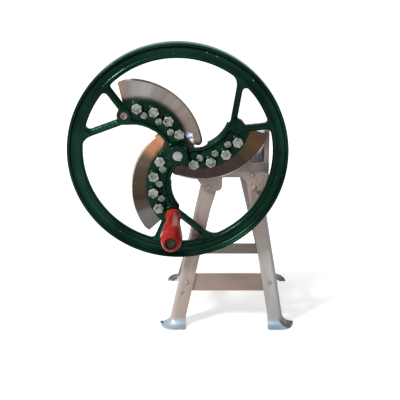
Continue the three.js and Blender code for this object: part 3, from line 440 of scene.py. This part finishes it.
def flared_prong(bm, right, left, high):
    """The prong that meets the rim at a slant, with a fillet on its right and a flare on its left."""
    run = polar(RIM_INNER + 3, FLARED_RIM_ANGLE) - FLARED_START
    fillet, flare = 8, 30
    before = len(bm.verts)
    outline = [bm.verts.new((0, right, 0))]
    outline += arc(bm, run.length - 13 - fillet, right - fillet, fillet, 90, -30, 5)
    outline.append(bm.verts.new((run.length + 8, right, 0)))
    outline.append(bm.verts.new((run.length + 14, left + 8, 0)))
    outline += arc(bm, run.length - flare / 2, left + flare, flare, -35, -90, 6)
    outline.append(bm.verts.new((0, left, 0)))
    laid_to_rim(bm, before, outline, high, FLARED_START, run)


for arm, arm_turn in enumerate(arm_turns):
    part = bmesh.new()
    flange = arc(part, *OUTER_EDGE, OUTER_RADIUS, ROOT_ANGLE, OUTER_END, 40)
    flange += arc(part, *INNER_EDGE, INNER_RADIUS, INNER_END, ROOT_ANGLE, 40)
    raised(part, flange, ARM_BACK, ARM_FRONT)
    rib = arc(part, *INNER_EDGE, RIB_OUTER, ROOT_ANGLE, INNER_END, 40)
    rib += arc(part, *INNER_EDGE, RIB_INNER, INNER_END, ROOT_ANGLE, 40)
    raised(part, rib, 0, RIB_TOP)
    tail = arc(part, *INNER_EDGE, TAIL_OUTER, TAIL_START, TAIL_END, 20)
    tail += arc(part, *INNER_EDGE, TAIL_INNER, TAIL_END, TAIL_START, 20)
    raised(part, tail, TAIL_BACK, 0)
    straight_prong(part, -6.5, 2, FLANGE_FACE)
    straight_prong(part, -2.5, 8, PRONG_FACE)
    flared_prong(part, -5.25, 8.5, FLANGE_FACE)
    flared_prong(part, 0.5, 8.5, PRONG_FACE)
    for place in bolt_places:
        barrel(part, place, PAD_RADIUS, 0, PAD_FACE)
    barrel(part, boss_place, BOSS_RADIUS, ARM_BACK, CRANK_BOSS_FACE if arm == 2 else BOSS_FACE)
    bmesh.ops.transform(part, matrix=arm_turn, verts=part.verts)
    arm_mesh = bpy.data.meshes.new("arm")
    part.to_mesh(arm_mesh)
    part.free()
    casting.from_mesh(arm_mesh)
    bpy.data.meshes.remove(arm_mesh)


def enamel():
    """Thick dark green enamel over rough iron, with a few chips and specks."""
    material, tree, shader = painted("green_enamel", (0.006, 0.03, 0.02), 0.18, 0.55, 0.21, (0.2, 0.6, 0.45))
    clouds = patches(tree, 9, detail=4)
    colour = between(tree, clouds, 0.38, 0.66, (0.002, 0.008, 0.005), (0.006, 0.027, 0.0155))
    specks = patches(tree, 160, detail=2)
    chipped = between(tree, specks, 0.74, 0.77, (0, 0, 0), (1, 1, 1))
    colour = mixed(tree, chipped, colour, (0.18, 0.33, 0.29))
    tree.links.new(colour, shader.inputs["Base Color"])
    skin = patches(tree, 75, detail=5)
    roughened(tree, shader, skin, 0.4, 0.0015)
    return material


green = enamel()
flywheel = finish(placed(casting), "flywheel_casting", green, "wheel")


def machined(piece, bm, sharp=30):
    """Cuts holes and seats out of a piece with the blocks in bm."""
    mesh = bpy.data.meshes.new("cutter")
    placed(bm).to_mesh(mesh)
    bm.free()
    cutter = bpy.data.objects.new("cutter", mesh)
    bpy.context.scene.collection.objects.link(cutter)
    hole = piece.modifiers.new("hole", "BOOLEAN")
    hole.object = cutter
    hole.operation = "DIFFERENCE"
    hole.solver = "EXACT"
    hole.use_self = True
    view = bpy.context.evaluated_depsgraph_get()
    drilled = bpy.data.meshes.new_from_object(piece.evaluated_get(view))
    piece.modifiers.clear()
    old = piece.data
    piece.data = drilled
    drilled.polygons.foreach_set("use_smooth", [True] * len(drilled.polygons))
    drilled.set_sharp_from_angle(angle=math.radians(sharp))
    bpy.data.meshes.remove(old)
    bpy.data.objects.remove(cutter)
    bpy.data.meshes.remove(mesh)


# Radii of the holes, and how far each cut runs from back to front
SHAFT_HOLE, SCREW_SEAT, CRANK_HOLE = 10.4, 8.4, 6.9
SHAFT_CUT, SEAT_CUT, CRANK_CUT = (-24, 34), (2.2, 12), (-17, 12)
drills = bmesh.new()
barrel(drills, (0, 0), SHAFT_HOLE, *SHAFT_CUT)
for arm_turn in arm_turns:
    for place in screw_places:
        barrel(drills, arm_turn @ place, SCREW_SEAT, *SEAT_CUT)
barrel(drills, boss_place, CRANK_HOLE, *CRANK_CUT)
# The boss on the right has only the hollow of a centre mark
centre_mark = arm_turns[1] @ boss_place + Vector((0, 0, BOSS_FACE + 2))
bmesh.ops.create_uvsphere(drills, u_segments=16, v_segments=8, radius=4,
                          matrix=Matrix.Translation(centre_mark))
machined(flywheel, drills)
cast(flywheel, WHEEL_GRAIN, 6)
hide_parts("flywheel")

# Spare crank hole: drilled into the upper left boss after enamelling, so its wall and the
# cone at its bottom are bare iron.
bore_wall = bmesh.new()
turned_ring(bore_wall, [(0, -6), (7.2, -6), (7.2, 7.2), (5.6, 7.2), (5.6, 3.5), (0, 0)], 32, closed=False)
finish(placed(bore_wall, Matrix.Translation(boss_place)), "spare_crank_hole",
       painted("drilled_iron", (0.21, 0.135, 0.12), 0.35, 0.7)[0], "wheel")

# Blades: crescents of bright steel behind the arms, ground on the front along the cutting
# edge. Each has its own bands of colour across its width, painted reflections of the room, and takes the
# arm's four bolts.
BLADE_FRONT, BLADE_BACK, BLADE_EDGE = -16, -20, -19.5
EDGE_CENTRE, EDGE_RADIUS, GRIND = (-100.8, -2.4), 153.5, 3.5
HEEL_ANGLE, TIP_ANGLE, TIP_RADIUS = 8.5, 84, 64.4
TIP_END, TIP_TURN = 118.3, (-112.5, 99, 0)
BLADE_INNER, BLADE_START, BLADE_END = 84, 93, 24.5
HUB_CORNERS = [polar(33.6, 53.5), polar(36.2, 17.7)]
HEEL_CENTRE, HEEL_RADIUS, HEEL_TURN = (41.9, 19.5), 9, (-125, -8)
THREAD_RADIUS, OVERRUN = 6.2, 3
REFLECTION_END = 100
HEEL_REFLECTION_REACH, HEEL_REFLECTION_ANGLES = (0.138, 0.136), (19, 17)


def blade_mesh():
    """A blade as on the first arm: a flat crescent whose front is ground down to the edge."""
    bm = bmesh.new()
    tip_centre = polar(EDGE_RADIUS - TIP_RADIUS, TIP_ANGLE, *EDGE_CENTRE)
    outline = arc(bm, *EDGE_CENTRE, EDGE_RADIUS, HEEL_ANGLE, TIP_ANGLE, 60)
    outline += arc(bm, tip_centre.x, tip_centre.y, TIP_RADIUS, TIP_ANGLE, TIP_END, 20)[1:]
    outline.append(bm.verts.new(TIP_TURN))
    outline += arc(bm, *ROW_CENTRE, BLADE_INNER, BLADE_START, BLADE_END, 40)
    outline += [bm.verts.new(corner) for corner in HUB_CORNERS]
    outline += arc(bm, *HEEL_CENTRE, HEEL_RADIUS, *HEEL_TURN, 7)
    raised(bm, outline, BLADE_BACK, BLADE_EDGE)
    upper = max(bm.faces, key=lambda face: face.calc_center_median().z)
    front = bmesh.ops.extrude_face_region(bm, geom=[upper])["geom"]
    bmesh.ops.delete(bm, geom=[upper], context="FACES_ONLY")
    centre = Vector((*EDGE_CENTRE, 0))
    for point in (item for item in front if isinstance(item, bmesh.types.BMVert)):
        out = Vector((point.co.x, point.co.y, 0)) - centre
        if out.length > EDGE_RADIUS - GRIND:
            out = out.normalized() * (EDGE_RADIUS - GRIND)
        point.co = centre + out + Vector((0, 0, BLADE_FRONT))
    return bm


def reflection_banded(name, arm_turn, reflection_bands, heel_reflection):
    """Blade steel with painted reflections: bands of colour that run along the blade, from its inner end to
    its outer end, and on the first blade a painted bright patch near its inner end.
    """
    material, tree, shader = painted(name, (0.4, 0.37, 0.35), 0.32, 0.9)
    place = node(tree, "TexCoord").outputs["Object"]
    laid = seen @ arm_turn
    run = (laid.to_3x3() @ Vector((1, 0, 0))).normalized()
    side = (laid.to_3x3() @ Vector((0, 1, 0))).normalized()
    heart = laid @ Vector((*EDGE_CENTRE, 0))
    from_heart = node(tree, "VectorMath", {0: place, 1: heart}, operation="SUBTRACT").outputs[0]
    across = node(tree, "VectorMath", {0: from_heart, 1: run}, operation="DOT_PRODUCT").outputs["Value"]
    up = node(tree, "VectorMath", {0: from_heart, 1: side}, operation="DOT_PRODUCT").outputs["Value"]
    angle = node(tree, "Math", {0: up, 1: across}, operation="ARCTAN2").outputs[0]
    along = rising(tree, angle, math.radians(HEEL_ANGLE), math.radians(REFLECTION_END))
    ramp = node(tree, "ValToRGB", {"Fac": along})
    ramp.color_ramp.elements[0].position = reflection_bands[0][0]
    ramp.color_ramp.elements[0].color = (*reflection_bands[0][1], 1)
    ramp.color_ramp.elements[1].position = reflection_bands[-1][0]
    ramp.color_ramp.elements[1].color = (*reflection_bands[-1][1], 1)
    for position, colour in reflection_bands[1:-1]:
        ramp.color_ramp.elements.new(position).color = (*colour, 1)
    reflection_streaks = node(tree, "TexNoise", {"Vector": node(tree, "CombineXYZ", {"X": angle}).outputs[0],
                                      "Scale": 9, "Detail": 6}).outputs["Fac"]
    shade = between(tree, reflection_streaks, 0.3, 0.7, (0.8, 0.8, 0.8), (1.15, 1.15, 1.15))
    colour = node(tree, "Mix", data_type="RGBA", blend_type="MULTIPLY")
    colour.inputs[0].default_value = 1
    tree.links.new(ramp.outputs[0], colour.inputs[6])
    tree.links.new(shade, colour.inputs[7])
    reflected_colour = colour.outputs[2]
    # On the first blade a bright bluish patch near the inner end is painted reflection
    if heel_reflection:
        reach = node(tree, "VectorMath", {0: from_heart}, operation="LENGTH").outputs["Value"]
        inner = rising(tree, reach, *HEEL_REFLECTION_REACH)
        near = rising(tree, angle, *map(math.radians, HEEL_REFLECTION_ANGLES))
        heel = node(tree, "Math", {0: inner, 1: near}, operation="MULTIPLY").outputs[0]
        heel_reflection_colour = between(tree, patches(tree, 160, detail=2), 0.48, 0.58, (0.62, 0.72, 0.84), (0.12, 0.14, 0.17))
        reflected_colour = mixed(tree, heel, reflected_colour, heel_reflection_colour)
    tree.links.new(reflected_colour, shader.inputs["Base Color"])
    grain = patches(tree, 300, detail=2)
    roughened(tree, shader, grain, 0.06, 0.0004)
    return material


# From the inner end to the outer end of each blade: how far along, and the colour of the painted reflection
# there
blade_reflection_bands = [
    [(0.0, (0.17, 0.13, 0.11)), (0.25, (0.185, 0.15, 0.125)), (0.42, (0.22, 0.19, 0.165)),
     (0.55, (0.175, 0.15, 0.13)), (0.75, (0.29, 0.275, 0.275)), (0.9, (0.21, 0.18, 0.165)),
     (1.0, (0.33, 0.175, 0.12))],
    [(0.0, (0.036, 0.024, 0.023)), (0.4, (0.036, 0.022, 0.019)), (0.65, (0.035, 0.025, 0.018)),
     (0.85, (0.068, 0.039, 0.018)), (1.0, (0.058, 0.033, 0.023))],
    [(0.0, (0.40, 0.19, 0.10)), (0.14, (0.34, 0.16, 0.085)), (0.24, (0.085, 0.064, 0.045)),
     (0.45, (0.045, 0.032, 0.02)), (0.66, (0.034, 0.024, 0.017)), (0.76, (0.052, 0.044, 0.04)),
     (0.80, (0.10, 0.096, 0.092)), (1.0, (0.095, 0.09, 0.086))],
]
# The ground edges take copies of one steel, lighter or darker from blade to blade: painted reflection
ground_edge_reflections = [painted("ground_edge_1", (0.34, 0.27, 0.235), 0.3, 0.9)[0],
                 painted("ground_edge_2", (0.55, 0.50, 0.44), 0.3, 0.9)[0],
                 painted("ground_edge_3", (0.75, 0.70, 0.66), 0.3, 0.9)[0]]
for arm, arm_turn in enumerate(arm_turns):
    name = f"blade_{arm + 1}"
    crescent = blade_mesh()
    blade = finish(placed(crescent, arm_turn), name + "_piece",
                   reflection_banded(name, arm_turn, blade_reflection_bands[arm], arm == 0), "wheel")
    threads = bmesh.new()
    for place in bolt_places:
        barrel(threads, arm_turn @ place, THREAD_RADIUS, BLADE_BACK - OVERRUN, BLADE_FRONT + OVERRUN)
    machined(blade, threads, sharp=13)
    blade.data.materials.append(ground_edge_reflections[arm])
    as_drawn = (seen @ arm_turn).inverted()
    for face in blade.data.polygons:
        slope = (as_drawn.to_3x3() @ face.normal).normalized()
        out = as_drawn @ face.center - Vector((*EDGE_CENTRE, 0))
        if 0.3 < slope.z < 0.95 and out.y > out.x * math.tan(math.radians(HEEL_ANGLE + 2)):
            face.material_index = 1
    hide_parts(name)

# Blade bolts: 12 mm hexagon bolts, turned and chamfered, zinc plated and a little stained.
# Four pull each blade up to its arm.
BOLT_FLATS, BOLT_HEAD, BOLT_SHANK, BOLT_LENGTH, WASHER_FACE = 19, 7.5, 12, 26.7, 0.8


def hexagon_head(bm, flats, low, high):
    """A bolt's head: a turned blank with a chamfer, with six flats cut on it."""
    corner = flats / math.sqrt(3)
    crown = flats * 0.475
    drop = (corner - crown) * 0.5
    blank = bmesh.new()
    turned_ring(blank, [(0, low), (corner, low), (corner, high - drop), (crown, high), (0, high)],
                48, closed=False)
    bmesh.ops.remove_doubles(blank, verts=blank.verts, dist=1e-4)
    for cut in range(6):
        out = polar(1, 60 * cut + 30)
        everything = blank.verts[:] + blank.edges[:] + blank.faces[:]
        bmesh.ops.bisect_plane(blank, geom=everything, plane_co=out * flats / 2, plane_no=out,
                               clear_outer=True)
        bmesh.ops.holes_fill(blank, edges=[e for e in blank.edges if e.is_boundary], sides=0)
    bmesh.ops.recalc_face_normals(blank, faces=blank.faces)
    made = bpy.data.meshes.new("head")
    blank.to_mesh(made)
    blank.free()
    bm.from_mesh(made)
    bpy.data.meshes.remove(made)


def plated(name, colour, stain):
    """Dull zinc plating with stains."""
    material, tree, shader = painted(name, colour, 0.38, 0.8)
    spots = patches(tree, 130, detail=5)
    tree.links.new(between(tree, spots, 0.42, 0.66, colour, stain), shader.inputs["Base Color"])
    grain = patches(tree, 500, detail=3)
    roughened(tree, shader, grain, 0.25, 0.0003)
    return material


zinc = plated("zinc_plate", (0.23, 0.245, 0.225), (0.06, 0.062, 0.052))
# Lighter and darker copies of the plating: painted highlight for the chamfers, painted shade for the sides
painted_highlight_zinc = plated("painted_highlight_zinc", (0.40, 0.43, 0.40), (0.14, 0.15, 0.135))
painted_shade_zinc = plated("painted_shade_zinc", (0.06, 0.065, 0.06), (0.03, 0.03, 0.026))


def bolt_at(cad_name, face_finish, flats, height, shank, length, turn, washer=0.0):
    """A hexagon bolt where the CAD node is: its head in front of its seat, its shank behind."""
    low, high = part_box(cad_name)
    middle = (low + high) / 2
    seat = seen.inverted() @ Vector((middle.x, low.y, middle.z))
    seat.z -= height
    bm = bmesh.new()
    hexagon_head(bm, flats, washer, height)
    if washer:
        barrel(bm, (0, 0), flats * 0.49, 0, washer, 40)
    barrel(bm, (0, 0), shank / 2, -length, height / 2, 24)
    place = Matrix.Translation(seat) @ Matrix.Rotation(math.radians(turn), 4, "Z")
    piece = finish(placed(bm, place), cad_name + "_piece", face_finish, "wheel", sharp=25)
    piece.data.materials.append(painted_highlight_zinc)
    piece.data.materials.append(painted_shade_zinc)
    # The chamfer ring takes the lighter copy as painted highlight, and the six sides the darker copy as
    # painted shade
    for face in piece.data.polygons:
        facing = abs(face.normal.y)
        face.material_index = 0 if facing > 0.95 else 1 if facing > 0.8 else 2
    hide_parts(cad_name)
    return piece


# Neighbouring heads stand at different angles, as they came when they were tightened
for arm in range(3):
    for count in range(4):
        bolt_at(f"blade_bolt_{arm + 1}_{count + 1}", zinc, BOLT_FLATS, BOLT_HEAD, BOLT_SHANK, BOLT_LENGTH,
                30 + 18 * (arm + count), WASHER_FACE)

# Adjusting screws: 8 mm screws with small hexagon heads, three on each arm. They press on the
# blade from the front and set its distance from the shear bar.
SCREW_FLATS, SCREW_HEAD, SCREW_SHANK, SCREW_LENGTH = 13, 5.3, 8, 18.7
dull_zinc = plated("dull_zinc", (0.17, 0.185, 0.17), (0.035, 0.04, 0.033))
for arm in range(3):
    for count in range(3):
        bolt_at(f"adjusting_screw_{arm + 1}_{count + 1}", dull_zinc, SCREW_FLATS, SCREW_HEAD,
                SCREW_SHANK, SCREW_LENGTH, 30 + 18 * (arm + 2 * count))

# Crank bolt and its lock nut: a long 12 mm bolt through the grip and the lower boss. Its head
# lies in the recess of the grip, under old oil.
CRANK_BOLT_LENGTH, CRANK_NUT_HEIGHT = 180.0, 5.5
oiled = painted("oiled_bolt", (0.028, 0.027, 0.016), 0.5, 0.0, 0.15)[0]
crank_bolt = bolt_at("crank_bolt", oiled, BOLT_FLATS, BOLT_HEAD, BOLT_SHANK, CRANK_BOLT_LENGTH,
                     0, WASHER_FACE)
for index in (1, 2):
    crank_bolt.data.materials[index] = oiled
nut_low, nut_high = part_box("crank_nut")
nut_middle = seen.inverted() @ ((nut_low + nut_high) / 2)
nut_mesh = bmesh.new()
hexagon_head(nut_mesh, BOLT_FLATS, -CRANK_NUT_HEIGHT / 2, CRANK_NUT_HEIGHT / 2)
crank_nut = finish(placed(nut_mesh, Matrix.Translation(nut_middle) @ Matrix.Rotation(math.pi, 4, "X")),
                   "crank_nut_piece", zinc, "wheel", sharp=25)
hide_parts("crank_nut")

# Grip: a hardwood handle, turned on a lathe and bored through for the crank bolt, on which it
# runs free. It was dipped in red lacquer, which has worn a little.
grip_low, grip_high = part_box("handle_grip")
grip_middle = seen.inverted() @ ((grip_low + grip_high) / 2)
GRIP_SEAT = 18.3
grip_profile = [(6.5, 0), (15.6, 0), (16.8, 0.8), (17, 3), (16.8, 6.5), (15.8, 12), (15.4, 20),
                (15.4, 32), (16.2, 50), (18.0, 74), (20.2, 98), (21.7, 114), (22, 124),
                (21.6, 136), (20.2, 147), (18.0, 155), (15.8, 159.5), (14.2, 161), (12.4, 160.8),
                (11.6, 159.6), (11.6, 149.4), (11.2, 149), (6.5, 149)]


def red_lacquer():
    """Glossy red lacquer, thinner in streaks along the grip."""
    material, tree, shader = painted("red_lacquer", (0.32, 0.020, 0.017), 0.09, 0.0, 0.04, (1, 0.5, 0.45))
    clouds = patches(tree, 30, detail=4, stretch=(1, 0.25, 1))
    colour = between(tree, clouds, 0.35, 0.7, (0.22, 0.008, 0.009), (0.37, 0.030, 0.020))
    tree.links.new(colour, shader.inputs["Base Color"])
    roughened(tree, shader, patches(tree, 60, detail=2), 0.12, 0.001)
    return material


grip_mesh = bmesh.new()
turned_ring(grip_mesh, grip_profile, 64)
grip_place = Matrix.Translation((grip_middle.x, grip_middle.y, GRIP_SEAT))
grip = finish(placed(grip_mesh, grip_place), "grip_piece", red_lacquer(), "grip", sharp=60)
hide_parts("handle_grip")
# A thin near-black lining on the wall and floor of the grip's recess: painted shade in the recess
recess_shade = painted("painted_recess_shade", (0.006, 0.005, 0.005), 0.7)[0]
recess_mesh = bmesh.new()
turned_ring(recess_mesh, [(11.55, 149.1), (11.55, 160.2), (11.2, 160.2), (11.2, 149.4), (6.6, 149.4),
                          (6.6, 149.1)], 48)
finish(placed(recess_mesh, grip_place), "grip_recess", recess_shade, "grip")

# Small fasteners: the collar's set screw and the trough's two screws, all zinc plated. They are
# small and out of sight, so their solids are shown as they are.
for cad_name in ("collar_screw", "trough_screw_1", "trough_screw_2"):
    plain_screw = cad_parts[cad_name]
    plain_screw.data.materials.clear()
    plain_screw.data.materials.append(zinc)

# The room: a plain pale floor that runs out of sight, soft daylight from the upper left, and
# the camera where the photograph was taken.
FLOOR_HALF = 20
PALER_OUTWARD = 0.25, 1.2
CAMERA_PLACE, CAMERA_DIP = (0.0330, -1.92495, 0.9256), 18.72


def background_rays(tree):
    """1 where the camera, a gloss or a glass looks at the background, and 0 for its light."""
    path = node(tree, "LightPath")
    rays = node(tree, "Math", {0: path.outputs["Is Camera Ray"], 1: path.outputs["Is Glossy Ray"]},
                operation="ADD").outputs[0]
    return node(tree, "Math", {0: rays, 1: path.outputs["Is Transmission Ray"]},
                operation="ADD", use_clamp=True).outputs[0]


floor_mesh = bmesh.new()
bmesh.ops.create_grid(floor_mesh, x_segments=1, y_segments=1, size=FLOOR_HALF)
floor_data = bpy.data.meshes.new("floor")
floor_mesh.to_mesh(floor_data)
floor_mesh.free()
floor = bpy.data.objects.new("floor", floor_data)
bpy.context.scene.collection.objects.link(floor)
floor_paint = bpy.data.materials.new("floor_paint")
floor_paint.use_nodes = True
floor_tree = floor_paint.node_tree
floor_tree.nodes.clear()
matt = node(floor_tree, "BsdfDiffuse", {"Color": (0.8, 0.8, 0.8, 1)}).outputs[0]
spot = node(floor_tree, "VectorMath", {0: node(floor_tree, "TexCoord").outputs["Object"]},
            operation="LENGTH").outputs["Value"]
paler = rising(floor_tree, spot, *PALER_OUTWARD, 0.54, 0.85)
lift = node(floor_tree, "Math", {0: background_rays(floor_tree), 1: paler},
            operation="MULTIPLY").outputs[0]
glow = node(floor_tree, "Emission", {"Color": (1, 1, 1, 1), "Strength": lift}).outputs[0]
together = node(floor_tree, "AddShader", {0: matt, 1: glow}).outputs[0]
node(floor_tree, "OutputMaterial", {"Surface": together})
floor_data.materials.append(floor_paint)

world = bpy.data.worlds.new("room")
bpy.context.scene.world = world
world.use_nodes = True
sky = world.node_tree
sky.nodes.clear()
strength = rising(sky, background_rays(sky), 0, 1, 0.3, 1.0)
air = node(sky, "Background", {"Color": (1, 1, 1, 1), "Strength": strength}).outputs[0]
node(sky, "OutputWorld", {"Surface": air})


def lamp(name, place, towards, size, watts):
    """A white rectangular lamp that faces a point."""
    data = bpy.data.lights.new(name, "AREA")
    data.shape = "RECTANGLE"
    data.size, data.size_y = size
    data.energy = watts
    made = bpy.data.objects.new(name, data)
    made.location = place
    made.rotation_mode = "QUATERNION"
    made.rotation_quaternion = (Vector(towards) - Vector(place)).to_track_quat("-Z", "Y")
    bpy.context.scene.collection.objects.link(made)


lamp("window", (-1.6, -1.2, 1.9), (0, 0, 0.35), (0.4, 0.6), 62)
lamp("ceiling", (-0.9, -0.4, 2.7), (0, 0, 0.3), (2.2, 2.2), 34)

camera_data = bpy.data.cameras.new("camera")
camera_data.lens = 84.6
camera_data.sensor_width = 36
camera = bpy.data.objects.new("camera", camera_data)
camera.location = CAMERA_PLACE
camera.rotation_euler = (math.radians(90 - CAMERA_DIP), 0, 0)
bpy.context.scene.collection.objects.link(camera)
bpy.context.scene.camera = camera
bpy.context.scene.view_settings.view_transform = "Standard"
